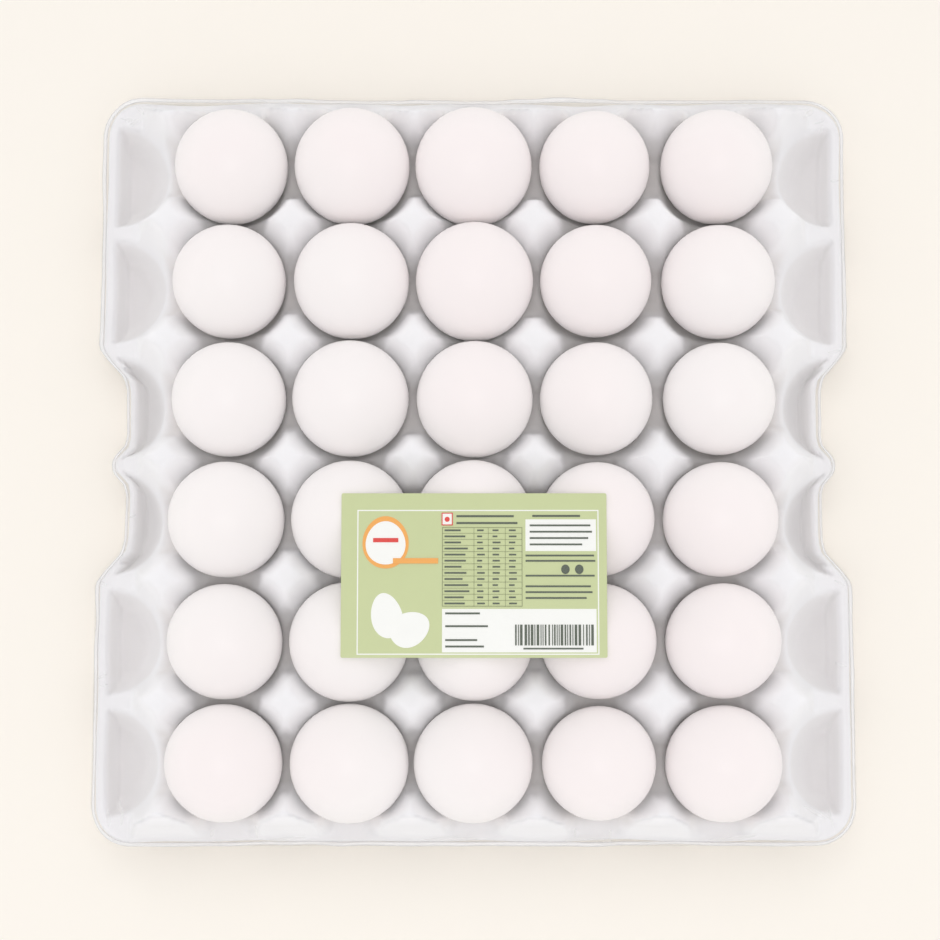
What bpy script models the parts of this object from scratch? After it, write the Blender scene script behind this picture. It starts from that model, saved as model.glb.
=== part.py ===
"""A thirty-egg pack: a moulded pulp tray of five by six cups, thirty eggs standing blunt end up,
a flat printed card lying on the eggs, and a clear shrink film drawn over the top and sides.

Metres, +Z up. X runs along the five columns and Y along the six rows, with row 1 at the back (+Y).
The origin is in the middle of the tray, at the height of the table that it stands on.
"""

import math

import bmesh
import bpy

# Driving sizes of the tray, in metres.
COLUMNS = 5
ROWS = 6
PITCH_X = 0.0480
PITCH_Y = 0.0472
TRAY_WIDTH = 0.296
TRAY_DEPTH = 0.296
CORNER_RADIUS = 0.014
PULP = 0.0020
WALL_SHIFT = 0.0012
CUP_FLOOR_TOP = PULP
WEB_TOP = 0.0180
POST_TOP = 0.0490
CUP_FLOOR_HALF = 0.0100
CUP_MOUTH_HALF = 0.0198

# Half cups along the two sides, closed by an outer wall under a narrow lip.
POCKET_WALL_FOOT = 0.1385
POCKET_WALL_HEAD = 0.1435
NOTCH_HALF_WIDTH = 0.1355
NOTCH_MIDDLE_HALF_WIDTH = 0.1420

# Half posts along the front and back edges.
HALF_POST_TOP_END = 0.1402
HALF_POST_FOOT = 0.1460
HALF_POST_SHIFT = 0.0002

# Eggs: a round blunt end above the widest ring and a longer, narrower end below it.
EGG_RADIUS = 0.0225
EGG_BLUNT_HEIGHT = 0.0250
EGG_POINTED_HEIGHT = 0.0330
EGG_SEGMENTS = 12
EGG_RINGS = 8
EGG_FOOT = 0.0026
EGG_TOP = EGG_FOOT + EGG_POINTED_HEIGHT + EGG_BLUNT_HEIGHT

# The printed card.
CARD_WIDTH = 0.100
CARD_DEPTH = 0.062
CARD_THICKNESS = 0.0004
CARD_CENTRE_Y = -0.0472
CLEARANCE = 0.0004

# The film: a cap drawn tight from the lower edge of the tray, over the rim, to the tops of the eggs.
FILM_THICKNESS = 0.0004
FILM_CORNER_STEPS = 3
FILM_TOP = EGG_TOP + 2 * CLEARANCE + CARD_THICKNESS + CLEARANCE + FILM_THICKNESS
# Each ring: half width, half depth, height and corner radius of the film's outer face.
FILM_RINGS = (
    (0.1445, 0.1445, 0.0015, 0.016),
    (0.1495, 0.1495, 0.0150, 0.016),
    (0.1495, 0.1495, 0.0200, 0.016),
    (0.1275, 0.1415, 0.0500, 0.003),
    (0.1040, 0.1260, FILM_TOP, 0.020),
)


def clear_scene():
    for thing in list(bpy.data.objects):
        bpy.data.objects.remove(thing, do_unlink=True)


def make_material(name, colour, roughness, metallic=0.0):
    material = bpy.data.materials.new(name)
    material.use_nodes = True
    shader = material.node_tree.nodes["Principled BSDF"]
    shader.inputs["Base Color"].default_value = (*colour, 1.0)
    shader.inputs["Roughness"].default_value = roughness
    shader.inputs["Metallic"].default_value = metallic
    return material


def add_object(name, mesh, material, smooth_angle=None):
    mesh.materials.append(material)
    if smooth_angle is not None:
        mesh.shade_smooth()
        mesh.set_sharp_from_angle(angle=math.radians(smooth_angle))
    thing = bpy.data.objects.new(name, mesh)
    bpy.context.scene.collection.objects.link(thing)
    return thing


def cell_x(column):
    return (column - (COLUMNS + 1) / 2) * PITCH_X


def cell_y(row):
    return ((ROWS + 1) / 2 - row) * PITCH_Y


class Line:
    """One line of the tray's grid: where it runs above and below, and what it crosses."""

    def __init__(self, place, shift, kind):
        self.place = place
        self.below = place + shift
        self.kind = kind


def cup_lines(centre):
    """The four lines that one cup needs; the underside's lie further from the cup's axis."""
    return [
        Line(centre - CUP_MOUTH_HALF, -WALL_SHIFT, "mouth"),
        Line(centre - CUP_FLOOR_HALF, -WALL_SHIFT, "floor"),
        Line(centre + CUP_FLOOR_HALF, WALL_SHIFT, "floor"),
        Line(centre + CUP_MOUTH_HALF, WALL_SHIFT, "mouth"),
    ]


def mirrored(lines):
    return [Line(-line.place, line.place - line.below, line.kind) for line in reversed(lines)]


def lines_across():
    half_cup = (COLUMNS + 1) / 2 * PITCH_X
    side = [
        Line(half_cup - CUP_MOUTH_HALF, -WALL_SHIFT, "mouth"),
        Line(half_cup - CUP_FLOOR_HALF, -WALL_SHIFT, "floor"),
        Line(POCKET_WALL_FOOT, WALL_SHIFT, "floor"),
        Line(POCKET_WALL_HEAD, WALL_SHIFT, "lip"),
        Line(TRAY_WIDTH / 2, 0.0, "lip"),
    ]
    cups = [line for column in range(1, COLUMNS + 1) for line in cup_lines(cell_x(column))]
    return mirrored(side) + cups + side


def lines_along():
    back = [
        Line(HALF_POST_TOP_END, -HALF_POST_SHIFT, "mouth"),
        Line(HALF_POST_FOOT, -WALL_SHIFT, "lip"),
        Line(TRAY_DEPTH / 2, 0.0, "lip"),
    ]
    cups = [line for row in range(ROWS, 0, -1) for line in cup_lines(cell_y(row))]
    return mirrored(back) + cups + back


def height_at(kind_x, kind_y):
    """Posts where two mouths cross, cup floors where two floors cross, the flat web elsewhere."""
    if kind_x == "mouth" and kind_y == "mouth":
        return POST_TOP
    if kind_x == "floor" and kind_y == "floor":
        return CUP_FLOOR_TOP
    return WEB_TOP


def side_half_width(y):
    """Half the tray's width: full, but drawn in beside rows 3 and 4 for the fingers."""
    inner = PITCH_Y / 2 - CUP_MOUTH_HALF
    start = PITCH_Y / 2 - CUP_FLOOR_HALF
    end = PITCH_Y / 2 + CUP_FLOOR_HALF
    outer = PITCH_Y / 2 + CUP_MOUTH_HALF
    full = TRAY_WIDTH / 2
    distance = abs(y)
    if distance <= inner:
        return NOTCH_MIDDLE_HALF_WIDTH
    if distance <= start:
        return NOTCH_MIDDLE_HALF_WIDTH + (distance - inner) / (start - inner) * (
            NOTCH_HALF_WIDTH - NOTCH_MIDDLE_HALF_WIDTH
        )
    if distance <= end:
        return NOTCH_HALF_WIDTH
    if distance <= outer:
        return NOTCH_HALF_WIDTH + (distance - end) / (outer - end) * (full - NOTCH_HALF_WIDTH)
    return full


def drawn_in(x, y):
    """Squeeze the half cups towards the tray's middle where its side is drawn in."""
    start = (COLUMNS + 1) / 2 * PITCH_X - CUP_MOUTH_HALF
    if abs(x) <= start:
        return x
    scale = (side_half_width(y) - start) / (TRAY_WIDTH / 2 - start)
    return math.copysign(start + (abs(x) - start) * scale, x)


def rounded_corner(x, y):
    """Carry the square corner of the grid onto a round one."""
    past_x = abs(x) - (TRAY_WIDTH / 2 - CORNER_RADIUS)
    past_y = abs(y) - (TRAY_DEPTH / 2 - CORNER_RADIUS)
    if past_x <= 0 or past_y <= 0:
        return x, y
    scale = max(past_x, past_y) / math.hypot(past_x, past_y)
    return (
        math.copysign(TRAY_WIDTH / 2 - CORNER_RADIUS + past_x * scale, x),
        math.copysign(TRAY_DEPTH / 2 - CORNER_RADIUS + past_y * scale, y),
    )


def tray_mesh():
    """A grid raised into webs, cups and posts, given the pulp's thickness by a second layer."""
    across = lines_across()
    along = lines_along()
    bm = bmesh.new()
    bmesh.ops.create_grid(bm, x_segments=len(across) - 1, y_segments=len(along) - 1, size=1.0)
    top = {}
    for vert in bm.verts:
        column = round((vert.co.x + 1) / 2 * (len(across) - 1))
        row = round((vert.co.y + 1) / 2 * (len(along) - 1))
        top[vert] = (across[column], along[row])
    for face in list(bm.faces):
        split_low(face, top)
    lifted = bmesh.ops.extrude_face_region(bm, geom=bm.faces[:], use_keep_orig=True)
    under = {}
    nearest = {(round(v.co.x, 5), round(v.co.y, 5)): lines for v, lines in top.items()}
    for vert in (g for g in lifted["geom"] if isinstance(g, bmesh.types.BMVert)):
        under[vert] = nearest[(round(vert.co.x, 5), round(vert.co.y, 5))]
    for vert, (line_x, line_y) in top.items():
        x, y = rounded_corner(drawn_in(line_x.place, line_y.place), line_y.place)
        vert.co = (x, y, height_at(line_x.kind, line_y.kind))
    for vert, (line_x, line_y) in under.items():
        x, y = rounded_corner(drawn_in(line_x.below, line_y.below), line_y.below)
        vert.co = (x, y, height_at(line_x.kind, line_y.kind) - PULP)
    bmesh.ops.recalc_face_normals(bm, faces=bm.faces)
    mesh = bpy.data.meshes.new("tray")
    bm.to_mesh(mesh)
    bm.free()
    return mesh


def split_low(face, lines):
    """Split a grid square along the diagonal that lies lower, so that cups open out roundly."""
    corners = list(face.verts)
    heights = [height_at(lines[v][0].kind, lines[v][1].kind) for v in corners]
    if heights[0] + heights[2] <= heights[1] + heights[3]:
        pair = (corners[0], corners[2])
    else:
        pair = (corners[1], corners[3])
    bmesh.utils.face_split(face, *pair)


def egg_mesh():
    bm = bmesh.new()
    bmesh.ops.create_uvsphere(bm, u_segments=EGG_SEGMENTS, v_segments=EGG_RINGS, radius=1.0)
    for vert in bm.verts:
        half = EGG_BLUNT_HEIGHT if vert.co.z > 0 else EGG_POINTED_HEIGHT
        vert.co.x *= EGG_RADIUS
        vert.co.y *= EGG_RADIUS
        vert.co.z *= half
    mesh = bpy.data.meshes.new("egg")
    bm.to_mesh(mesh)
    bm.free()
    return mesh


def card_mesh():
    bm = bmesh.new()
    bmesh.ops.create_cube(bm, size=1.0)
    bmesh.ops.scale(bm, vec=(CARD_WIDTH, CARD_DEPTH, CARD_THICKNESS), verts=bm.verts)
    mesh = bpy.data.meshes.new("label")
    bm.to_mesh(mesh)
    bm.free()
    return mesh


def film_ring(bm, half_width, half_depth, height, radius):
    """One level of the film: a rectangle with round corners."""
    verts = []
    for quarter in range(4):
        sign_x = 1 if quarter in (0, 3) else -1
        sign_y = 1 if quarter in (0, 1) else -1
        for step in range(FILM_CORNER_STEPS + 1):
            angle = math.radians(90 * (quarter + step / FILM_CORNER_STEPS))
            x = sign_x * (half_width - radius) + radius * math.cos(angle)
            y = sign_y * (half_depth - radius) + radius * math.sin(angle)
            verts.append(bm.verts.new((x, y, height)))
    return verts


def film_layer(bm, inset):
    """One face of the film, all its rings and the flat top, moved inwards by inset."""
    rings = [
        film_ring(bm, w - inset, d - inset, z - (inset if z == FILM_TOP else 0.0), r - inset)
        for w, d, z, r in FILM_RINGS
    ]
    for lower, upper in zip(rings, rings[1:]):
        for i in range(len(lower)):
            j = (i + 1) % len(lower)
            bm.faces.new((lower[i], lower[j], upper[j], upper[i]))
    bm.faces.new(rings[-1])
    return rings[0]


def film_mesh():
    bm = bmesh.new()
    outer = film_layer(bm, 0.0)
    inner = film_layer(bm, FILM_THICKNESS)
    for i in range(len(outer)):
        j = (i + 1) % len(outer)
        bm.faces.new((outer[j], outer[i], inner[i], inner[j]))
    bmesh.ops.recalc_face_normals(bm, faces=bm.faces)
    bmesh.ops.triangulate(bm, faces=bm.faces[:])
    mesh = bpy.data.meshes.new("film")
    bm.to_mesh(mesh)
    bm.free()
    return mesh


def build():
    clear_scene()
    pulp = make_material("pulp", (0.85, 0.84, 0.83), 0.9)
    shell = make_material("eggshell", (0.90, 0.87, 0.83), 0.5)
    card = make_material("card", (0.55, 0.68, 0.35), 0.5)
    clear = make_material("clear_film", (0.95, 0.95, 0.95), 0.1)
    add_object("tray", tray_mesh(), pulp)
    for row in range(1, ROWS + 1):
        for column in range(1, COLUMNS + 1):
            egg = add_object(f"egg_r{row}_c{column}", egg_mesh(), shell, smooth_angle=60)
            egg.location = (cell_x(column), cell_y(row), EGG_FOOT + EGG_POINTED_HEIGHT)
    label = add_object("label", card_mesh(), card)
    label.location = (0, CARD_CENTRE_Y, EGG_TOP + CLEARANCE + CARD_THICKNESS / 2)
    add_object("film", film_mesh(), clear, smooth_angle=40)


build()
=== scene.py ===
"""Looks of a wrapped tray of eggs: the pulp tray, the eggs, the printed card and the clear film.

The file is laid out as an add-on: settings hold the sizes and colours, an operator makes each kind of
piece, and a panel in the 3D view's sidebar lists them. Metres, +Z up, row 1 at the back (+Y).
"""

import math
import random

import bmesh
import bpy
import numpy as np
from bpy.props import FloatProperty, FloatVectorProperty, IntProperty, PointerProperty
from mathutils import Matrix, Vector, noise


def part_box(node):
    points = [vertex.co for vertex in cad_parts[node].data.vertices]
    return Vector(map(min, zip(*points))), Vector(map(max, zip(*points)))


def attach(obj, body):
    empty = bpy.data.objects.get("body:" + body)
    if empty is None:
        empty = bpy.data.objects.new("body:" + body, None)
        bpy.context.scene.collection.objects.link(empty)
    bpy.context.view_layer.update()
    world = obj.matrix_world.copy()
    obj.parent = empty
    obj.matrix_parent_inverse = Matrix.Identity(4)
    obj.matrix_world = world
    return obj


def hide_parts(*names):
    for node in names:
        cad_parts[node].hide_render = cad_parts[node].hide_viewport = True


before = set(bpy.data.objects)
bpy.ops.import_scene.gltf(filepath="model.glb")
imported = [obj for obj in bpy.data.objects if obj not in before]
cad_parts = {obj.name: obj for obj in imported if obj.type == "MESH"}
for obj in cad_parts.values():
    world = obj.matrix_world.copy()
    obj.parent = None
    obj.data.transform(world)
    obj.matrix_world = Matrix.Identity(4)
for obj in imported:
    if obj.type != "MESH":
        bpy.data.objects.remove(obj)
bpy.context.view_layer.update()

bl_info = {
    "name": "Wrapped Egg Tray",
    "version": (1, 0, 0),
    "blender": (4, 5, 0),
    "location": "3D View > Sidebar > Egg Tray",
    "description": "Makes a shrink-wrapped pulp tray of eggs piece by piece",
    "category": "Object",
}

MM = 0.001
COLUMNS = 5
ROWS = 6


# ---------------------------------------------------------------- places taken from the frame


def egg_node(row, column):
    return f"egg_r{row}_c{column}"


def middle_of(node):
    low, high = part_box(node)
    return (Vector(low) + Vector(high)) / 2


FIRST_EGG = middle_of(egg_node(1, 1))
LAST_EGG = middle_of(egg_node(ROWS, COLUMNS))
PITCH_X = (LAST_EGG.x - FIRST_EGG.x) / (COLUMNS - 1)
PITCH_Y = (FIRST_EGG.y - LAST_EGG.y) / (ROWS - 1)
EGG_LOW, EGG_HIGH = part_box(egg_node(1, 1))
TRAY_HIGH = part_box("tray")[1]
CARD_LOW, CARD_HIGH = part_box("label")
FILM_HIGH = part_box("film")[1]


# ---------------------------------------------------------------- settings


def length(name, description, default):
    return FloatProperty(name=name, description=description, default=default, unit="LENGTH", precision=4)


def colour(name, description, default):
    return FloatVectorProperty(
        name=name, description=description, default=default, subtype="COLOR", size=3, min=0.0, max=1.0
    )


class TraySettings(bpy.types.PropertyGroup):
    web: length("Web height", "Top of the flat web between the cups", 0.018)
    floor: length("Cup floor", "Top of a cup's floor", 0.0018)
    mouth: length("Cup mouth", "Radius of a cup where it meets the web", 0.0208)
    post_top: length("Post head", "Half width of a post's flat head", 0.0060)
    post_foot: length("Post foot", "Half width of a post at the web", 0.0146)
    post_swell: FloatProperty(
        name="Post swell", description="How full the posts' sides are", default=1.35, subtype="FACTOR"
    )
    lip: length("Side lip", "Width of the lip along the two sides", 0.0034)
    notch_lip: length("Notch lip", "Width of the lip beside the two middle rows", 0.0018)
    corner: length("Corner radius", "Radius of the tray's four corners", 0.014)
    pulp: colour("Pulp", "Colour of the moulded pulp", (0.93, 0.922, 0.935))
    # Painted shade: the pulp colour laid low down in the cups and gaps, where shade falls.
    painted_shade: colour("Deep pulp", "Colour low down in the cups and gaps", (0.80, 0.765, 0.745))


class EggSettings(bpy.types.PropertyGroup):
    spread: FloatProperty(
        name="Size spread", description="How much eggs differ in size", default=0.015, subtype="FACTOR"
    )
    lean: FloatProperty(
        name="Lean", description="How far an egg leans at most", default=math.radians(3), subtype="ANGLE"
    )
    seed: IntProperty(name="Seed", description="Chooses the sizes and leans", default=11)
    shell: colour("Shell", "Colour of most of the shells", (0.942, 0.905, 0.905))
    rosy: colour("Rosy shell", "Colour of the warmer shells", (0.942, 0.893, 0.890))
    ivory: colour("Ivory shell", "Colour of the creamier shells", (0.936, 0.908, 0.895))


class CardSettings(bpy.types.PropertyGroup):
    green: colour("Green", "Printed ground of the card", (0.592, 0.65, 0.355))
    paper: colour("White", "White panels and lines of the print", (0.93, 0.93, 0.90))
    ink: colour("Ink", "Rows and bars of the print", (0.10, 0.12, 0.09))
    orange: colour("Orange", "Ring and band of the print", (0.90, 0.42, 0.10))
    red: colour("Red", "Small marks of the print", (0.75, 0.06, 0.05))


class FilmSettings(bpy.types.PropertyGroup):
    clear: colour("Film", "Colour of the clear film", (0.97, 0.97, 0.98))
    cells: IntProperty(name="Cells", description="Squares along one side of the film", default=150)
    gap: length("Gap", "Space between the film and what it lies on", 0.0003)


class StageSettings(bpy.types.PropertyGroup):
    ground: colour("Ground", "Colour of the floor", (0.985, 0.935, 0.865))
    distance: length("Camera distance", "From the camera to the middle of the tray", 0.898)
    tilt: FloatProperty(
        name="Tilt",
        description="Camera's lean from straight down",
        default=math.radians(7.3),
        subtype="ANGLE",
    )
    lens: FloatProperty(
        name="Lens", description="Focal length in millimetres", default=87.7, unit="CAMERA"
    )
    sky: FloatProperty(name="Sky", description="Strength of the even light around", default=0.732)
    overhead: FloatProperty(
        name="Overhead", description="Power of the lamp above", default=6.4, unit="POWER"
    )
    behind: FloatProperty(
        name="Behind", description="Power of the lamp behind the tray", default=1.2, unit="POWER"
    )


class PackSettings(bpy.types.PropertyGroup):
    tray: PointerProperty(type=TraySettings)
    eggs: PointerProperty(type=EggSettings)
    card: PointerProperty(type=CardSettings)
    film: PointerProperty(type=FilmSettings)
    stage: PointerProperty(type=StageSettings)


# ---------------------------------------------------------------- shared tools


def settle(name, mesh, material, nodes=(), smooth=180):
    """Put a finished mesh into the scene and tie it to the frame."""
    mesh.materials.append(material)
    mesh.shade_smooth()
    if smooth < 180:
        mesh.set_sharp_from_angle(angle=math.radians(smooth))
    piece = bpy.data.objects.new(name, mesh)
    bpy.context.scene.collection.objects.link(piece)
    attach(piece, "root")
    if nodes:
        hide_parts(*nodes)
    return piece


def mesh_from(bm, name):
    """Turn a finished bmesh into a mesh."""
    mesh = bpy.data.meshes.new(name)
    bm.to_mesh(mesh)
    bm.free()
    return mesh


def smooth_max(a, b, blend):
    """The higher of two heights, with the corner between them rounded off."""
    return 0.5 * (a + b + np.sqrt((a - b) ** 2 + blend**2))


def smooth_min(a, b, blend):
    """The lower of two heights, with the corner between them rounded off."""
    return 0.5 * (a + b - np.sqrt((a - b) ** 2 + blend**2))


def new_material(name):
    material = bpy.data.materials.new(name)
    material.use_nodes = True
    tree = material.node_tree
    return material, tree, tree.nodes["Principled BSDF"]


def add_ramp(tree, low, high, bottom=0.0, top=1.0):
    """A node that turns values from low to high into values from bottom to top."""
    ramp = tree.nodes.new("ShaderNodeMapRange")
    ramp.inputs["From Min"].default_value = low
    ramp.inputs["From Max"].default_value = high
    ramp.inputs["To Min"].default_value = bottom
    ramp.inputs["To Max"].default_value = top
    return ramp


def add_math(tree, operation):
    node = tree.nodes.new("ShaderNodeMath")
    node.operation = operation
    return node


def add_mix(tree):
    mix = tree.nodes.new("ShaderNodeMix")
    mix.data_type = "RGBA"
    return mix


def mottle_group():
    """Soft variation of a colour and a height over the surface, in object coordinates."""
    name = "Mottle"
    if name in bpy.data.node_groups:
        return bpy.data.node_groups[name]
    tree = bpy.data.node_groups.new(name, "ShaderNodeTree")
    sockets = (
        ("Colour A", "INPUT", "NodeSocketColor", None),
        ("Colour B", "INPUT", "NodeSocketColor", None),
        ("Patch Scale", "INPUT", "NodeSocketFloat", 40.0),
        ("Grain Scale", "INPUT", "NodeSocketFloat", 700.0),
        ("Colour", "OUTPUT", "NodeSocketColor", None),
        ("Height", "OUTPUT", "NodeSocketFloat", None),
    )
    for label, side, kind, default in sockets:
        socket = tree.interface.new_socket(name=label, in_out=side, socket_type=kind)
        if default is not None:
            socket.default_value = default
    start = tree.nodes.new("NodeGroupInput")
    end = tree.nodes.new("NodeGroupOutput")
    place = tree.nodes.new("ShaderNodeTexCoord")
    patches = tree.nodes.new("ShaderNodeTexNoise")
    grain = tree.nodes.new("ShaderNodeTexNoise")
    mix = add_mix(tree)
    patches.inputs["Detail"].default_value = 3.0
    grain.inputs["Detail"].default_value = 4.0
    link = tree.links.new
    link(place.outputs["Object"], patches.inputs["Vector"])
    link(place.outputs["Object"], grain.inputs["Vector"])
    link(start.outputs["Patch Scale"], patches.inputs["Scale"])
    link(start.outputs["Grain Scale"], grain.inputs["Scale"])
    link(patches.outputs["Fac"], mix.inputs["Factor"])
    link(start.outputs["Colour A"], mix.inputs["A"])
    link(start.outputs["Colour B"], mix.inputs["B"])
    link(mix.outputs["Result"], end.inputs["Colour"])
    link(grain.outputs["Fac"], end.inputs["Height"])
    return tree


def add_mottle(tree, shader, colour_a, colour_b, patch_scale, grain_scale, bump, depth):
    """Place the mottle group in a material: colour to the base, height to a faint bump."""
    mottle = tree.nodes.new("ShaderNodeGroup")
    mottle.node_tree = mottle_group()
    mottle.inputs["Colour A"].default_value = (*colour_a, 1.0)
    mottle.inputs["Colour B"].default_value = (*colour_b, 1.0)
    mottle.inputs["Patch Scale"].default_value = patch_scale
    mottle.inputs["Grain Scale"].default_value = grain_scale
    relief = tree.nodes.new("ShaderNodeBump")
    relief.inputs["Strength"].default_value = bump
    relief.inputs["Distance"].default_value = depth
    tree.links.new(mottle.outputs["Colour"], shader.inputs["Base Color"])
    tree.links.new(mottle.outputs["Height"], relief.inputs["Height"])
    tree.links.new(relief.outputs["Normal"], shader.inputs["Normal"])
    return mottle


def dimmed(value, factor):
    """A colour made darker by a factor."""
    return tuple(channel * factor for channel in value)


# ---------------------------------------------------------------- tray

TRAY_SEED = 5
HALF_WIDTH = TRAY_HIGH[0]
HALF_DEPTH = TRAY_HIGH[1]
POST_HEIGHT = TRAY_HIGH[2]

# The grid: fine within POST_ZONE of a post's axis, CUP_STEPS wide steps across the rest of a cup.
POST_ZONE = 0.0125
FINE_STEP = 0.0011
CUP_STEPS = 6

# A cup: a flat floor, a wall that curves up to the web, and a funnel between the posts above it.
CUP_FLAT = 0.010
CUP_CURVE = 2.8
FUNNEL_SLOPE = 3.6

# A post: round-cornered in plan, its head lower by up to HEAD_FALL and wider or narrower by HEAD_SPREAD.
POST_SQUARENESS = 2.5
HEAD_FALL = 0.0009
HEAD_SPREAD = 0.07
HEAD_CROWN = 0.0011
HALF_POST_FOOT = HALF_DEPTH - 0.0020
HALF_POST_SLOPE = 3.6

# Widths over which faces run into each other: head and shaft, posts and web, cup and web, side wall.
HEAD_BLEND = 0.003
FOOT_BLEND = 0.0022
CUP_BLEND = 0.0012
WALL_BLEND = 0.0008

# The side walls, and the tray's half width at each distance from its middle: drawn in beside two rows.
WALL_SLOPE = 6.0
NOTCH_END = 0.040
NOTCH_OUTLINE = (
    (0.0, 0.1425),
    (0.0030, 0.1420),
    (0.0080, 0.1375),
    (0.0120, 0.1366),
    (0.0300, 0.1368),
    (0.0350, 0.1380),
    (0.0425, 0.1450),
    (0.0470, HALF_WIDTH),
    (0.2, HALF_WIDTH),
)


def graded_lines(axes, limit):
    """Grid lines from -limit to limit, close together beside each post axis, wide across a cup."""
    starts = [max(axis - POST_ZONE, -limit) for axis in axes]
    ends = [min(axis + POST_ZONE, limit) for axis in axes]
    starts[0] = -limit
    ends[-1] = limit
    lines = []
    for i, (start, end) in enumerate(zip(starts, ends)):
        steps = round((end - start) / FINE_STEP)
        lines += [start + (end - start) * k / steps for k in range(steps + 1)]
        if i + 1 < len(starts):
            after = starts[i + 1]
            lines += [end + (after - end) * k / CUP_STEPS for k in range(1, CUP_STEPS)]
    return np.array(lines)


def side_edge(y):
    """Half the tray's width at y: full, drawn in beside the two middle rows."""
    places, widths = zip(*NOTCH_OUTLINE)
    return np.interp(np.abs(y), places, widths)


def cup_surface(x, y, settings):
    """Height of the cup walls, carried on upwards past the web between the posts."""
    cup_x = np.round(x / PITCH_X) * PITCH_X
    cup_y = np.clip(np.floor(y / PITCH_Y) + 0.5, -ROWS / 2 + 0.5, ROWS / 2 - 0.5) * PITCH_Y
    radius = np.hypot(x - cup_x, y - cup_y)
    rise = np.clip((radius - CUP_FLAT) / (settings.mouth - CUP_FLAT), 0, 1) ** CUP_CURVE
    wall = settings.floor + (settings.web - settings.floor) * rise
    funnel = settings.web + FUNNEL_SLOPE * (radius - settings.mouth)
    return np.where(radius < settings.mouth, wall, funnel)


def post_surface(x, y, settings, draw):
    """Height of the posts: a flat rounded head on a steep flared shaft."""
    column = np.clip(np.floor(x / PITCH_X), -3, 2).astype(int)
    row = np.clip(np.round(y / PITCH_Y), -3, 3).astype(int)
    across = x - (column + 0.5) * PITCH_X
    along = y - row * PITCH_Y
    power = POST_SQUARENESS
    distance = (np.abs(across) ** power + np.abs(along) ** power) ** (1 / power)
    posts_x = COLUMNS + 1
    posts_y = ROWS + 1
    low, high = 1 - HEAD_SPREAD, 1 + HEAD_SPREAD
    heads = np.array([[draw.uniform(-HEAD_FALL, 0.0) for _ in range(posts_y)] for _ in range(posts_x)])
    widths = np.array([[draw.uniform(low, high) for _ in range(posts_y)] for _ in range(posts_x)])
    head = POST_HEIGHT + heads[column + 3, row + 3]
    distance = distance / widths[column + 3, row + 3]
    fall = (distance - settings.post_top) / (settings.post_foot - settings.post_top)
    shaft = head - (head - settings.web) * np.sign(fall) * np.abs(fall) ** settings.post_swell
    dome = head - HEAD_CROWN * (distance / settings.post_top) ** 2
    return smooth_min(dome, shaft, HEAD_BLEND)


def pocket_start(settings):
    """How far out the half cups along the two sides begin."""
    return (COLUMNS + 1) / 2 * PITCH_X - settings.mouth


def tray_height(x, y, settings, draw):
    """Height of the tray's upper face: cups, web, posts, and the walls that close the half cups."""
    outer_face = settings.web + HALF_POST_SLOPE * (HALF_POST_FOOT - np.abs(y))
    posts = np.minimum(post_surface(x, y, settings, draw), np.maximum(outer_face, 0))
    top = smooth_max(posts, np.full_like(x, settings.web), FOOT_BLEND)
    height = smooth_min(cup_surface(x, y, settings), top, CUP_BLEND)
    inside = side_edge(y) - np.abs(x)
    lip = np.where(np.abs(y) < NOTCH_END, settings.notch_lip, settings.lip)
    wall = settings.web - WALL_SLOPE * (inside - lip)
    beside = np.abs(x) > pocket_start(settings)
    closed = smooth_max(height, np.minimum(wall, settings.web), WALL_BLEND)
    return np.where(beside & (wall > 0), closed, height)


def rounded_corners(x, y, half_x, half_y, radius):
    """Pull the points near a rectangle's corners in onto round ones."""
    past_x = np.abs(x) - (half_x - radius)
    past_y = np.abs(y) - (half_y - radius)
    corner = (past_x > 0) & (past_y > 0)
    reach = np.maximum(past_x, past_y) / np.maximum(np.hypot(past_x, past_y), 1e-9)
    scale = np.where(corner, reach, 1.0)
    round_x = np.where(corner, np.sign(x) * (half_x - radius + past_x * scale), x)
    round_y = np.where(corner, np.sign(y) * (half_y - radius + past_y * scale), y)
    return round_x, round_y


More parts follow.
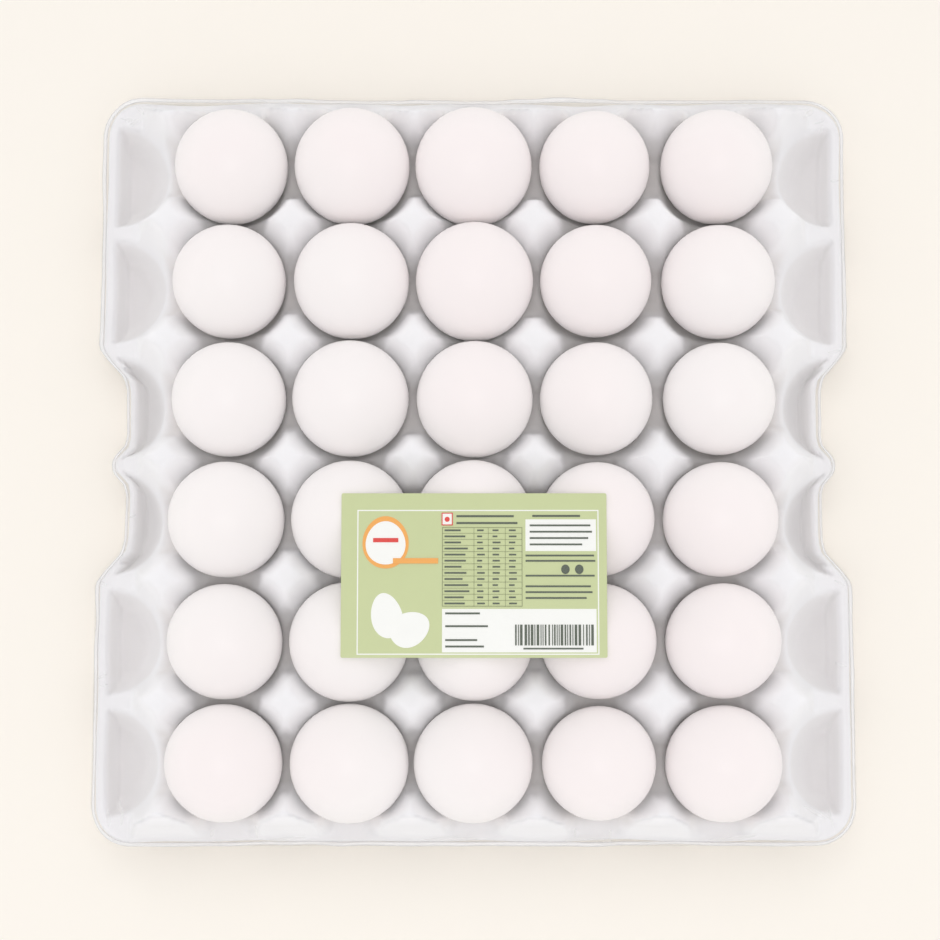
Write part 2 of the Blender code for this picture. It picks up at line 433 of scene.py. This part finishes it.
def pulp_material(settings):
    """Pulp with painted shade: darker low down between the eggs, and less so in the half cups and outer
    strips.
    """
    material, tree, shader = new_material("moulded_pulp")
    shader.inputs["Roughness"].default_value = 0.9
    shader.inputs["Diffuse Roughness"].default_value = 1.0
    shader.inputs["Specular IOR Level"].default_value = 0.2
    worn = dimmed(settings.pulp, 0.965)
    mottle = add_mottle(tree, shader, settings.pulp, worn, 60.0, 900.0, 0.25, 0.0003)
    place = tree.nodes.new("ShaderNodeTexCoord")
    split = tree.nodes.new("ShaderNodeSeparateXYZ")
    # Mask of the painted shade: full low down, weaker in the half cups and outer strips.
    depth = add_ramp(tree, 0.010, 0.034)
    pocket = add_ramp(tree, 0.0125, 0.0170, bottom=0.68)
    inward = add_ramp(tree, 0.116, 0.124)
    side = add_math(tree, "MULTIPLY")
    aside = add_math(tree, "ABSOLUTE")
    ahead = add_math(tree, "ABSOLUTE")
    beyond = add_math(tree, "SUBTRACT")
    beyond.inputs[1].default_value = 0.018
    outer = add_math(tree, "MAXIMUM")
    high = add_math(tree, "MAXIMUM")
    mix = add_mix(tree)
    mix.inputs["A"].default_value = (*settings.painted_shade, 1.0)
    link = tree.links.new
    link(place.outputs["Object"], split.inputs["Vector"])
    link(split.outputs["Z"], depth.inputs["Value"])
    link(split.outputs["Z"], pocket.inputs["Value"])
    link(split.outputs["X"], aside.inputs[0])
    link(split.outputs["Y"], ahead.inputs[0])
    link(ahead.outputs["Value"], beyond.inputs[0])
    link(aside.outputs["Value"], outer.inputs[0])
    link(beyond.outputs["Value"], outer.inputs[1])
    link(outer.outputs["Value"], inward.inputs["Value"])
    link(inward.outputs["Result"], side.inputs[0])
    link(pocket.outputs["Result"], side.inputs[1])
    link(depth.outputs["Result"], high.inputs[0])
    link(side.outputs["Value"], high.inputs[1])
    link(high.outputs["Value"], mix.inputs["Factor"])
    link(mottle.outputs["Colour"], mix.inputs["B"])
    link(mix.outputs["Result"], shader.inputs["Base Color"])
    return material


def make_tray(settings):
    """The moulded sheet: a grid drawn up and down over cups and posts, then given its thickness."""
    draw = random.Random(TRAY_SEED)
    post_axes_x = [(k - COLUMNS / 2) * PITCH_X for k in range(COLUMNS + 1)]
    post_axes_y = [(k - ROWS / 2) * PITCH_Y for k in range(ROWS + 1)]
    lines_x = graded_lines(post_axes_x, HALF_WIDTH)
    lines_y = graded_lines(post_axes_y, HALF_DEPTH)
    bm = bmesh.new()
    bmesh.ops.create_grid(bm, x_segments=len(lines_x) - 1, y_segments=len(lines_y) - 1, size=1.0)
    mesh = mesh_from(bm, "pulp_tray")
    places = np.empty(len(mesh.vertices) * 3)
    mesh.vertices.foreach_get("co", places)
    places = places.reshape(-1, 3)
    x = lines_x[np.rint((places[:, 0] + 1) / 2 * (len(lines_x) - 1)).astype(int)]
    y = lines_y[np.rint((places[:, 1] + 1) / 2 * (len(lines_y) - 1)).astype(int)]
    start = pocket_start(settings)
    squeeze = (side_edge(y) - start) / (HALF_WIDTH - start)
    x = np.where(np.abs(x) > start, np.sign(x) * (start + (np.abs(x) - start) * squeeze), x)
    z = tray_height(x, y, settings, draw)
    x, y = rounded_corners(x, y, HALF_WIDTH, HALF_DEPTH, settings.corner)
    for i in range(len(x)):
        spot = Vector((x[i] * 22, y[i] * 22, 3.0))
        z[i] += 0.0004 * noise.noise(spot) * min(1.0, z[i] / settings.web)
        sway = noise.noise_vector(spot * 1.6)
        x[i] += 0.0008 * sway.x - math.copysign(0.0003, x[i])
        y[i] += 0.0012 * sway.y - math.copysign(0.0005, y[i])
    places = np.column_stack((x, y, np.maximum(z, settings.floor)))
    mesh.vertices.foreach_set("co", places.ravel())
    mesh.update()
    tray = settle("pulp_tray", mesh, pulp_material(settings), ("tray",))
    thickness = tray.modifiers.new("Pulp thickness", "SOLIDIFY")
    thickness.thickness = settings.floor
    thickness.offset = -1.0
    return tray


# ---------------------------------------------------------------- eggs

COLUMN_SIZES = (0.99, 1.012, 1.018, 0.985, 0.98)
ROW_SHIFTS = (-0.0009, 0.0, 0.0005, 0.0004, 0.0, 0.0006)
EGG_RADIUS = (EGG_HIGH[0] - EGG_LOW[0]) / 2
EGG_HEIGHT = EGG_HIGH[2] - EGG_LOW[2]
BLUNTNESS = 0.12
BLUNTNESS_SPREAD = 0.02
HEIGHT_SPREAD = 0.01
ASIDE = 0.00025
ALONG = 0.0002


def eggshell_material(settings):
    """White shells; broad patches in object coordinates tint neighbouring eggs differently."""
    material, tree, shader = new_material("eggshell")
    shader.inputs["Roughness"].default_value = 0.5
    shader.inputs["Diffuse Roughness"].default_value = 1.0
    shader.inputs["Specular IOR Level"].default_value = 0.35
    mottle = add_mottle(tree, shader, settings.shell, settings.ivory, 14.0, 1500.0, 0.06, 0.0001)
    place = tree.nodes.new("ShaderNodeTexCoord")
    tint = tree.nodes.new("ShaderNodeTexNoise")
    tint.inputs["Scale"].default_value = 11.0
    tint.inputs["Detail"].default_value = 0.0
    ramp = add_ramp(tree, 0.42, 0.62)
    mix = add_mix(tree)
    mix.inputs["B"].default_value = (*settings.rosy, 1.0)
    tree.links.new(place.outputs["Object"], tint.inputs["Vector"])
    tree.links.new(tint.outputs["Fac"], ramp.inputs["Value"])
    tree.links.new(ramp.outputs["Result"], mix.inputs["Factor"])
    tree.links.new(mottle.outputs["Colour"], mix.inputs["A"])
    tree.links.new(mix.outputs["Result"], shader.inputs["Base Color"])
    return material


def make_egg(row, column, settings, draw, material):
    """One egg, blunt end up, sized by its column and leaning a little."""
    size = COLUMN_SIZES[column - 1] * (1 + draw.uniform(-settings.spread, settings.spread))
    height = EGG_HEIGHT * (1 + draw.uniform(-HEIGHT_SPREAD, 0.0))
    bluntness = BLUNTNESS + draw.uniform(-BLUNTNESS_SPREAD, BLUNTNESS_SPREAD)
    bm = bmesh.new()
    bmesh.ops.create_uvsphere(bm, u_segments=56, v_segments=36, radius=1.0)
    fullest = max(math.sqrt(1 - c * c) * (1 + bluntness * c) for c in (k / 100 for k in range(40)))
    for vert in bm.verts:
        swell = (1 + bluntness * vert.co.z) / fullest
        vert.co = Vector((vert.co.x * swell, vert.co.y * swell, vert.co.z))
    bmesh.ops.scale(bm, vec=(EGG_RADIUS * size, EGG_RADIUS * size, height / 2), verts=bm.verts)
    lean = Matrix.Rotation(draw.uniform(0, settings.lean), 3, "X")
    turn = Matrix.Rotation(draw.uniform(0, math.tau), 3, "Z")
    bmesh.ops.rotate(bm, cent=(0, 0, 0), matrix=turn @ lean, verts=bm.verts)
    middle = middle_of(egg_node(row, column))
    top = max(vert.co.z for vert in bm.verts)
    aside = draw.uniform(-ASIDE, ASIDE)
    along = ROW_SHIFTS[row - 1] + draw.uniform(-ALONG, ALONG)
    shift = Vector((aside, along, EGG_HIGH[2] - middle.z - top))
    bmesh.ops.translate(bm, vec=middle + shift, verts=bm.verts)
    name = f"shell_r{row}_c{column}"
    return settle(name, mesh_from(bm, name), material, (egg_node(row, column),))


# ---------------------------------------------------------------- card

LAYER = 0.00012
TABLE_LEFT = 38.0
TABLE_RIGHT = 68.2
TABLE_BACK = 12.9
TABLE_FRONT = 42.8
TABLE_ROWS = 13


def card_point(u, v, layer=0.0):
    """A place on the card: u mm from its left edge, v mm from its back edge, lifted by layers."""
    return Vector((CARD_LOW[0] + u * MM, CARD_HIGH[1] - v * MM, CARD_HIGH[2] + layer * LAYER))


def add_block(bm, u0, v0, u1, v1, layer):
    """A thin printed rectangle as a solid block, from just inside the card up to its layer."""
    low = card_point(u0, v1)
    high = card_point(u1, v0, layer)
    made = bmesh.ops.create_cube(bm, size=1.0)
    depth = high.z - low.z + LAYER
    bmesh.ops.scale(bm, vec=(high.x - low.x, high.y - low.y, depth), verts=made["verts"])
    middle = Vector(((low.x + high.x) / 2, (low.y + high.y) / 2, high.z - depth / 2))
    bmesh.ops.translate(bm, vec=middle, verts=made["verts"])


def add_frame(bm, u0, v0, u1, v1, width, layer):
    """A printed outline of a rectangle, made of four blocks."""
    add_block(bm, u0, v0, u1, v0 + width, layer)
    add_block(bm, u0, v1 - width, u1, v1, layer)
    add_block(bm, u0, v0 + width, u0 + width, v1 - width, layer)
    add_block(bm, u1 - width, v0 + width, u1, v1 - width, layer)


def add_oval(bm, u, v, width, height, layer, angle=0.0, point=0.0):
    """A flat oval or egg shape, narrower at its upper end where point is more than 0."""
    made = bmesh.ops.create_circle(bm, cap_ends=True, segments=48, radius=0.5)
    for vert in made["verts"]:
        vert.co.x *= 1 - point * vert.co.y * 2
    bmesh.ops.scale(bm, vec=(width * MM, height * MM, 1), verts=made["verts"])
    spin = Matrix.Rotation(math.radians(angle), 3, "Z")
    bmesh.ops.rotate(bm, cent=(0, 0, 0), matrix=spin, verts=made["verts"])
    bmesh.ops.translate(bm, vec=card_point(u, v, layer), verts=made["verts"])
    face = made["verts"][0].link_faces[0]
    if face.normal.z < 0:
        face.normal_flip()
    sides = bmesh.ops.extrude_face_region(bm, geom=[face], use_keep_orig=True)
    lower = [g for g in sides["geom"] if isinstance(g, bmesh.types.BMVert)]
    bmesh.ops.translate(bm, vec=(0, 0, -LAYER * (layer + 0.5)), verts=lower)


def print_material(name, tone):
    """Printed card: satin, with a faint change of tone."""
    material, tree, shader = new_material(name)
    shader.inputs["Roughness"].default_value = 0.45
    shader.inputs["Specular IOR Level"].default_value = 0.3
    add_mottle(tree, shader, tone, dimmed(tone, 0.96), 120.0, 2500.0, 0.03, 0.00005)
    return material


def print_piece(name, build, tone):
    """Everything that is printed in one colour, as one piece."""
    bm = bmesh.new()
    build(bm)
    bmesh.ops.recalc_face_normals(bm, faces=bm.faces)
    return settle(name, mesh_from(bm, name), print_material(name, tone), smooth=30)


def print_white(bm):
    """The card's white line, panels and shapes."""
    add_frame(bm, 6.0, 6.3, 97.0, 60.9, 0.45, 1)
    add_block(bm, 37.8, 7.4, 42.0, 12.2, 1)
    add_block(bm, 69.4, 9.9, 96.0, 21.9, 1)
    add_block(bm, 38.0, 43.7, 96.0, 60.0, 1)
    add_oval(bm, 16.7, 18.8, 15.0, 16.4, 2, point=0.08)
    add_oval(bm, 17.2, 46.2, 11.8, 17.2, 1, angle=12, point=0.12)


def print_second_egg(bm):
    add_oval(bm, 25.9, 51.3, 12.8, 15.6, 2, angle=-62, point=0.12)


def print_orange(bm):
    add_oval(bm, 16.7, 18.6, 17.4, 19.8, 1, point=0.05)
    add_block(bm, 19.5, 24.6, 36.5, 26.6, 3)


def print_red(bm):
    add_frame(bm, 37.8, 7.4, 42.0, 12.2, 0.35, 2)
    add_oval(bm, 39.9, 9.9, 1.9, 1.9, 2)
    add_block(bm, 12.0, 17.0, 21.5, 18.6, 3)


def print_grid(bm):
    """The rules of a plain table."""
    add_frame(bm, TABLE_LEFT, TABLE_BACK, TABLE_RIGHT, TABLE_FRONT, 0.22, 1.2)
    for k in range(1, TABLE_ROWS):
        v = TABLE_BACK + (TABLE_FRONT - TABLE_BACK) * k / TABLE_ROWS
        add_block(bm, TABLE_LEFT, v - 0.07, TABLE_RIGHT, v + 0.07, 1.1)
    for u in (50.0, 55.4, 61.8):
        add_block(bm, u - 0.07, TABLE_BACK, u + 0.07, TABLE_FRONT, 1.1)


def print_ink(bm):
    """Short bars in rows and in the table, and a band of upright bars: no lettering anywhere."""
    draw = random.Random(3)
    for k in range(TABLE_ROWS):
        v = TABLE_BACK + (TABLE_FRONT - TABLE_BACK) * (k + 0.5) / TABLE_ROWS
        add_block(bm, 38.9, v - 0.32, 38.9 + draw.uniform(5.0, 9.5), v + 0.32, 1.2)
        for u in (51.2, 57.0, 63.2):
            add_block(bm, u, v - 0.3, u + draw.uniform(1.8, 3.0), v + 0.3, 1.2)
    for v, u0, u1 in ((8.7, 43.4, 65.0), (11.3, 43.4, 66.4), (8.6, 72.0, 90.0)):
        add_block(bm, u0, v - 0.38, u1, v + 0.38, 1.2)
    for v in (12.2, 14.6, 17.0, 19.4):
        add_block(bm, 71.0, v - 0.33, 71.0 + draw.uniform(19.0, 23.5), v + 0.33, 2.2)
    for v in (23.6, 25.6, 31.2, 35.2, 37.4, 39.6):
        add_block(bm, 69.4, v - 0.33, 69.4 + draw.uniform(22.0, 26.4), v + 0.33, 1.2)
    for v, width in ((45.4, 13.0), (50.2, 16.0), (55.4, 12.0), (57.8, 14.5)):
        add_block(bm, 39.2, v - 0.35, 39.2 + width, v + 0.35, 2.2)
    for u in (84.4, 89.6):
        add_oval(bm, u, 28.8, 3.2, 3.6, 1.2)
    u = 65.4
    while u < 94.2:
        width = draw.choice((0.35, 0.35, 0.6, 0.95))
        add_block(bm, u, 49.6, u + width, 57.4, 2.2)
        u += width + draw.choice((0.4, 0.5, 0.75))
    add_block(bm, 68.5, 58.3, 91.0, 58.9, 2.2)


def make_card(settings):
    """The card itself, and its print one colour at a time."""
    bm = bmesh.new()
    bmesh.ops.create_cube(bm, size=1.0)
    size = Vector(CARD_HIGH) - Vector(CARD_LOW)
    bmesh.ops.scale(bm, vec=size, verts=bm.verts)
    bmesh.ops.translate(bm, vec=middle_of("label"), verts=bm.verts)
    upright = [e for e in bm.edges if abs(e.verts[0].co.z - e.verts[1].co.z) > size.z / 2]
    bmesh.ops.bevel(
        bm, geom=upright, offset=0.0006, affect="EDGES", segments=3, profile=0.5, material=-1
    )
    green = print_material("card_green", settings.green)
    settle("printed_card", mesh_from(bm, "printed_card"), green, ("label",), smooth=30)
    print_piece("print_white", print_white, settings.paper)
    print_piece("print_second_egg", print_second_egg, settings.paper)
    print_piece("print_orange", print_orange, settings.orange)
    print_piece("print_red", print_red, settings.red)
    print_piece("print_grid", print_grid, dimmed(settings.green, 0.45))
    print_piece("print_ink", print_ink, settings.ink)


# ---------------------------------------------------------------- film


FILM_HALF = FILM_HIGH[0] - 0.0002
FILM_RIM = 0.0186
FILM_CORNER = 0.016
FILM_STRAIGHT = 0.118
FILM_ROUNDS = 2500
TRAY_MARGIN = 0.0013
EGG_MARGIN = 1.08
EGG_WIDEST = 0.56
SKIRT = ((0.004, 1.0), (0.0125, 0.990))
CORNERS = ((1, 1), (-1, 1), (-1, -1), (1, -1))
CORNER_FOLDS = 3
SIDE_FOLDS = 4
FRONT_FOLDS = (-0.082, -0.020, 0.034, 0.090)


def beside_tray(x, y):
    """Carry the film's straight side onto the tray's own side, which is drawn in at the middle."""
    straight = np.abs(x)
    room = side_edge(y) + FILM_HALF - HALF_WIDTH - FILM_STRAIGHT
    drawn = FILM_STRAIGHT + (straight - FILM_STRAIGHT) * room / (FILM_HALF - FILM_STRAIGHT)
    return np.where(straight > FILM_STRAIGHT, np.sign(x) * drawn, x)


def film_place(x, y, half):
    """Where a point of the flat film comes to lie, with round corners and drawn-in sides."""
    x, y = rounded_corners(x, y, half, half, FILM_CORNER)
    return float(beside_tray(x, y)), float(y)


def over_tray(x, y, tray):
    """The tray's height under the film, taken a little wide so that the film clears its steep faces."""
    x = beside_tray(x, y)
    heights = [
        tray_height(x + across, y + along, tray, random.Random(TRAY_SEED))
        for across in (-TRAY_MARGIN, 0, TRAY_MARGIN)
        for along in (-TRAY_MARGIN, 0, TRAY_MARGIN)
    ]
    return np.max(heights, axis=0)


def film_floor(x, y, gap, tray):
    """The lowest the film can lie: on the egg tops, the card and the tray."""
    last_x = (COLUMNS - 1) / 2
    last_y = (ROWS - 1) / 2
    egg_x = np.clip(np.round(x / PITCH_X), -last_x, last_x) * PITCH_X
    egg_y = np.clip(np.floor(y / PITCH_Y) + 0.5, -last_y, last_y) * PITCH_Y
    reach = np.hypot(x - egg_x, y - egg_y) / (EGG_RADIUS * EGG_MARGIN)
    widest = EGG_LOW[2] + EGG_WIDEST * EGG_HEIGHT
    crown = EGG_HIGH[2] - widest
    eggs = np.where(reach < 1, widest + crown * np.clip(1 - reach**2.2, 0, 1) ** 0.5, 0)
    on_card = (x > CARD_LOW[0]) & (x < CARD_HIGH[0]) & (y > CARD_LOW[1]) & (y < CARD_HIGH[1])
    card = np.where(on_card, CARD_HIGH[2] + 3 * LAYER, 0)
    return np.maximum(np.maximum(eggs, over_tray(x, y, tray)), card) + gap


def drawn_film(settings, tray):
    """Heights of a tight skin over the pack: each free point settles between its neighbours."""
    line = np.linspace(-FILM_HALF, FILM_HALF, settings.cells + 1)
    x, y = np.meshgrid(line, line, indexing="ij")
    floor = film_floor(x, y, settings.gap, tray)
    height = np.full_like(x, FILM_HIGH[2] - MM)
    height[0, :] = height[-1, :] = FILM_RIM
    height[:, 0] = height[:, -1] = FILM_RIM
    for _ in range(FILM_ROUNDS):
        inner = 0.25 * (height[:-2, 1:-1] + height[2:, 1:-1] + height[1:-1, :-2] + height[1:-1, 2:])
        height[1:-1, 1:-1] = np.maximum(inner, floor[1:-1, 1:-1])
    return line, height


def film_material(name, settings, least, most, roughness):
    """Clear film: nearly all see-through, a little whiter where it is seen edge on, as a painted
    reflection.
    """
    material, tree, shader = new_material(name)
    shader.inputs["Roughness"].default_value = roughness
    # Opacity rises where the film is seen edge on: a white painted reflection.
    facing = tree.nodes.new("ShaderNodeLayerWeight")
    facing.inputs["Blend"].default_value = 0.5
    painted_edge_reflection = add_ramp(tree, 0.2, 1.0, bottom=least, top=most)
    place = tree.nodes.new("ShaderNodeTexCoord")
    slack = tree.nodes.new("ShaderNodeTexNoise")
    slack.inputs["Scale"].default_value = 120.0
    slack.inputs["Detail"].default_value = 1.0
    tone = add_mix(tree)
    tone.inputs["A"].default_value = (*settings.clear, 1.0)
    tone.inputs["B"].default_value = (*dimmed(settings.clear, 0.97), 1.0)
    relief = tree.nodes.new("ShaderNodeBump")
    relief.inputs["Strength"].default_value = 0.3
    relief.inputs["Distance"].default_value = 0.0008
    link = tree.links.new
    link(facing.outputs["Facing"], painted_edge_reflection.inputs["Value"])
    link(painted_edge_reflection.outputs["Result"], shader.inputs["Alpha"])
    link(place.outputs["Object"], slack.inputs["Vector"])
    link(slack.outputs["Fac"], tone.inputs["Factor"])
    link(tone.outputs["Result"], shader.inputs["Base Color"])
    link(slack.outputs["Fac"], relief.inputs["Height"])
    link(relief.outputs["Normal"], shader.inputs["Normal"])
    return material


def make_film_sheet(settings, height):
    """The skin itself, with its skirt down to just above the table."""
    bm = bmesh.new()
    bmesh.ops.create_grid(bm, x_segments=settings.cells, y_segments=settings.cells, size=FILM_HALF)
    step = 2 * FILM_HALF / settings.cells
    for vert in bm.verts:
        i = round((vert.co.x + FILM_HALF) / step)
        j = round((vert.co.y + FILM_HALF) / step)
        vert.co.z = height[i, j]
    border = [edge for edge in bm.edges if edge.is_boundary]
    for drop, draw_in in SKIRT:
        made = bmesh.ops.extrude_edge_only(bm, edges=border)
        verts = [g for g in made["geom"] if isinstance(g, bmesh.types.BMVert)]
        border = [g for g in made["geom"] if isinstance(g, bmesh.types.BMEdge) and g.is_boundary]
        bmesh.ops.scale(bm, vec=(draw_in, draw_in, 1), verts=verts)
        bmesh.ops.translate(bm, vec=(0, 0, -drop), verts=verts)
    for vert in bm.verts:
        vert.co.x, vert.co.y = film_place(vert.co.x, vert.co.y, FILM_HALF)
    bmesh.ops.recalc_face_normals(bm, faces=bm.faces)
    material = film_material("clear_film", settings, 0.012, 0.24, 0.12)
    return settle("clear_film", mesh_from(bm, "clear_film"), material, ("film",))


def height_on(line, height, x, y):
    """The film's height at a place, between the four points around it."""
    u = (x - line[0]) / (line[1] - line[0])
    v = (y - line[0]) / (line[1] - line[0])
    i = min(max(int(u), 0), len(line) - 2)
    j = min(max(int(v), 0), len(line) - 2)
    u -= i
    v -= j
    near = height[i, j] * (1 - v) + height[i, j + 1] * v
    far = height[i + 1, j] * (1 - v) + height[i + 1, j + 1] * v
    return near * (1 - u) + far * u


def add_fold(bm, start, heading, bend, reach, width, line, height):
    """A small standing fold: a ridge that tapers to nothing at both ends."""
    steps = 14
    limit = FILM_HALF - 0.0002
    made = bmesh.ops.create_grid(bm, x_segments=steps, y_segments=2, size=1.0)
    path = []
    x, y = start
    angle = heading
    for _ in range(steps + 1):
        path.append((x, y, angle))
        x += reach / steps * math.cos(angle)
        y += reach / steps * math.sin(angle)
        angle += bend / steps
    for vert in made["verts"]:
        i = round((vert.co.x + 1) / 2 * steps)
        side = round(vert.co.y)
        x, y, angle = path[i]
        taper = math.sin(math.pi * i / steps) ** 0.6
        x -= side * width / 2 * taper * math.sin(angle)
        y += side * width / 2 * taper * math.cos(angle)
        x = min(max(x, -limit), limit)
        y = min(max(y, -limit), limit)
        lift = 0.00018 + (0.0002 * taper if side == 0 else 0.0)
        z = height_on(line, height, x, y) + lift
        vert.co = (*film_place(x, y, limit), z)


def make_folds(settings, line, height):
    """Small folds: fans of them at the corners, and a few across each side and along the front."""
    draw = random.Random(21)
    bm = bmesh.new()
    for sign_x, sign_y in CORNERS:
        inward = math.atan2(-sign_y, -sign_x)
        for _ in range(CORNER_FOLDS):
            start = (sign_x * draw.uniform(0.135, 0.146), sign_y * draw.uniform(0.138, 0.146))
            heading = inward + draw.uniform(-0.7, 0.7)
            reach = draw.uniform(0.006, 0.012)
            bend = draw.uniform(-0.5, 0.5)
            width = draw.uniform(1.2, 2.0) * MM
            add_fold(bm, start, heading, bend, reach, width, line, height)
    for side in range(4):
        facing = side * math.pi / 2
        for _ in range(SIDE_FOLDS):
            along = draw.uniform(-0.125, 0.125)
            out = draw.uniform(0.1455, 0.1480)
            start = (
                out * math.cos(facing) - along * math.sin(facing),
                out * math.sin(facing) + along * math.cos(facing),
            )
            heading = facing + math.pi + draw.uniform(-0.5, 0.5)
            reach = draw.uniform(0.003, 0.006)
            bend = draw.uniform(-0.4, 0.4)
            width = draw.uniform(1.0, 1.6) * MM
            add_fold(bm, start, heading, bend, reach, width, line, height)
    for place in FRONT_FOLDS:
        start = (place, -0.1468 + draw.uniform(-0.4, 0.4) * MM)
        bend = draw.uniform(-0.15, 0.15)
        reach = draw.uniform(0.016, 0.026)
        add_fold(bm, start, 0.05, bend, reach, 1.3 * MM, line, height)
    # Folds are more opaque and whiter than the sheet: partly the doubled film of a fold, partly painted
    # glint.
    material = film_material("film_fold", settings, 0.16, 0.34, 0.12)
    return settle("film_folds", mesh_from(bm, "film_folds"), material)


def make_hem(settings):
    """The film's gathered edge: a thin, slightly wavy bead around the rim."""
    around, ring = 480, 6
    bm = bmesh.new()
    bmesh.ops.create_grid(bm, x_segments=around, y_segments=ring, size=1.0)
    for vert in bm.verts:
        turn = (vert.co.x + 1) * math.pi
        angle = (vert.co.y + 1) * math.pi
        across = math.cos(turn)
        along = math.sin(turn)
        reach = (FILM_HALF - 0.0006) / max(abs(across), abs(along))
        wave = noise.noise(Vector((across * 5.0, along * 5.0, 1.7)))
        wave += 0.5 * noise.noise(Vector((across * 14.0, along * 14.0, 4.1)))
        thick = (0.85 + 0.35 * wave) * MM
        reach += (0.8 * wave - 0.3) * MM + thick * math.cos(angle)
        z = FILM_RIM + 0.0012 + 0.5 * MM * wave + 0.3 * thick * math.sin(angle)
        vert.co = (*film_place(across * reach, along * reach, FILM_HALF), z)
    bmesh.ops.remove_doubles(bm, verts=bm.verts, dist=0.00001)
    bmesh.ops.recalc_face_normals(bm, faces=bm.faces)
    material = film_material("film_hem", settings, 0.55, 0.7, 0.2)
    return settle("film_hem", mesh_from(bm, "film_hem"), material)


def make_film(settings, tray):
    """The film over the tray: its sheet, its folds and its gathered edge."""
    line, height = drawn_film(settings, tray)
    make_film_sheet(settings, height)
    make_folds(settings, line, height)
    make_hem(settings)


# ---------------------------------------------------------------- stage


FLOOR_HALF = 3.0
CAMERA_TARGET = Vector((-0.0015, -0.0033, 0.030))


def make_floor(settings):
    """A plain pale floor at the height that the tray stands on."""
    bm = bmesh.new()
    bmesh.ops.create_grid(bm, x_segments=1, y_segments=1, size=FLOOR_HALF)
    mesh = mesh_from(bm, "floor")
    material, tree, shader = new_material("floor_paint")
    shader.inputs["Base Color"].default_value = (*settings.ground, 1.0)
    shader.inputs["Roughness"].default_value = 0.8
    shader.inputs["Specular IOR Level"].default_value = 0.0
    mesh.materials.append(material)
    floor = bpy.data.objects.new("floor", mesh)
    bpy.context.scene.collection.objects.link(floor)


def add_softbox(name, location, size, power):
    """A square white lamp that faces the middle of the tray."""
    lamp = bpy.data.lights.new(name, "AREA")
    lamp.shape = "SQUARE"
    lamp.size = size
    lamp.energy = power
    softbox = bpy.data.objects.new(name, lamp)
    softbox.location = location
    softbox.rotation_euler = (-Vector(location)).to_track_quat("-Z", "Y").to_euler()
    bpy.context.scene.collection.objects.link(softbox)


def make_lights(settings):
    """Even white light from all around, a lamp above and a weak one behind."""
    world = bpy.data.worlds.new("studio")
    bpy.context.scene.world = world
    world.use_nodes = True
    background = world.node_tree.nodes["Background"]
    background.inputs["Color"].default_value = (1, 1, 1, 1)
    background.inputs["Strength"].default_value = settings.sky
    add_softbox("overhead", (0.0, -0.25, 1.60), 0.35, settings.overhead)
    add_softbox("back_light", (-0.15, 0.90, 1.50), 0.6, settings.behind)


def make_camera(settings):
    """The camera, nearly straight above and leaning a little to the front."""
    data = bpy.data.cameras.new("camera")
    data.lens = settings.lens
    camera = bpy.data.objects.new("camera", data)
    back = Vector((0, -math.sin(settings.tilt), math.cos(settings.tilt)))
    camera.location = CAMERA_TARGET + back * settings.distance
    camera.rotation_euler = (settings.tilt, 0, 0)
    bpy.context.scene.collection.objects.link(camera)
    bpy.context.scene.camera = camera


# ---------------------------------------------------------------- operators and panel


class EGGTRAY_OT_tray(bpy.types.Operator):
    """Make the moulded pulp tray"""

    bl_idname = "egg_tray.tray"
    bl_label = "Pulp Tray"

    def execute(self, context):
        make_tray(context.scene.egg_tray.tray)
        return {"FINISHED"}


class EGGTRAY_OT_eggs(bpy.types.Operator):
    """Make the eggs, one in each cup"""

    bl_idname = "egg_tray.eggs"
    bl_label = "Eggs"

    def execute(self, context):
        settings = context.scene.egg_tray.eggs
        draw = random.Random(settings.seed)
        material = eggshell_material(settings)
        for row in range(1, ROWS + 1):
            for column in range(1, COLUMNS + 1):
                make_egg(row, column, settings, draw, material)
        return {"FINISHED"}


class EGGTRAY_OT_card(bpy.types.Operator):
    """Make the printed card with its plain fields and bars"""

    bl_idname = "egg_tray.card"
    bl_label = "Printed Card"

    def execute(self, context):
        make_card(context.scene.egg_tray.card)
        return {"FINISHED"}


class EGGTRAY_OT_film(bpy.types.Operator):
    """Make the clear film drawn over the pack"""

    bl_idname = "egg_tray.film"
    bl_label = "Clear Film"

    def execute(self, context):
        settings = context.scene.egg_tray
        make_film(settings.film, settings.tray)
        return {"FINISHED"}


class EGGTRAY_OT_stage(bpy.types.Operator):
    """Make the floor, the lights and the camera"""

    bl_idname = "egg_tray.stage"
    bl_label = "Stage"

    def execute(self, context):
        settings = context.scene.egg_tray.stage
        make_floor(settings)
        make_lights(settings)
        make_camera(settings)
        context.scene.view_settings.view_transform = "Standard"
        return {"FINISHED"}


OPERATORS = (EGGTRAY_OT_tray, EGGTRAY_OT_eggs, EGGTRAY_OT_card, EGGTRAY_OT_film, EGGTRAY_OT_stage)


class EGGTRAY_PT_panel(bpy.types.Panel):
    """Lists the pieces of the egg tray"""

    bl_label = "Egg Tray"
    bl_idname = "EGGTRAY_PT_panel"
    bl_space_type = "VIEW_3D"
    bl_region_type = "UI"
    bl_category = "Egg Tray"

    def draw(self, context):
        for operator in OPERATORS:
            self.layout.operator(operator.bl_idname)


CLASSES = (
    TraySettings,
    EggSettings,
    CardSettings,
    FilmSettings,
    StageSettings,
    PackSettings,
    *OPERATORS,
    EGGTRAY_PT_panel,
)


def register():
    for cls in CLASSES:
        bpy.utils.register_class(cls)
    bpy.types.Scene.egg_tray = PointerProperty(type=PackSettings)


def unregister():
    del bpy.types.Scene.egg_tray
    for cls in reversed(CLASSES):
        bpy.utils.unregister_class(cls)


def main():
    register()
    bpy.ops.egg_tray.tray()
    bpy.ops.egg_tray.eggs()
    bpy.ops.egg_tray.card()
    bpy.ops.egg_tray.film()
    bpy.ops.egg_tray.stage()


if __name__ == "__main__":
    main()
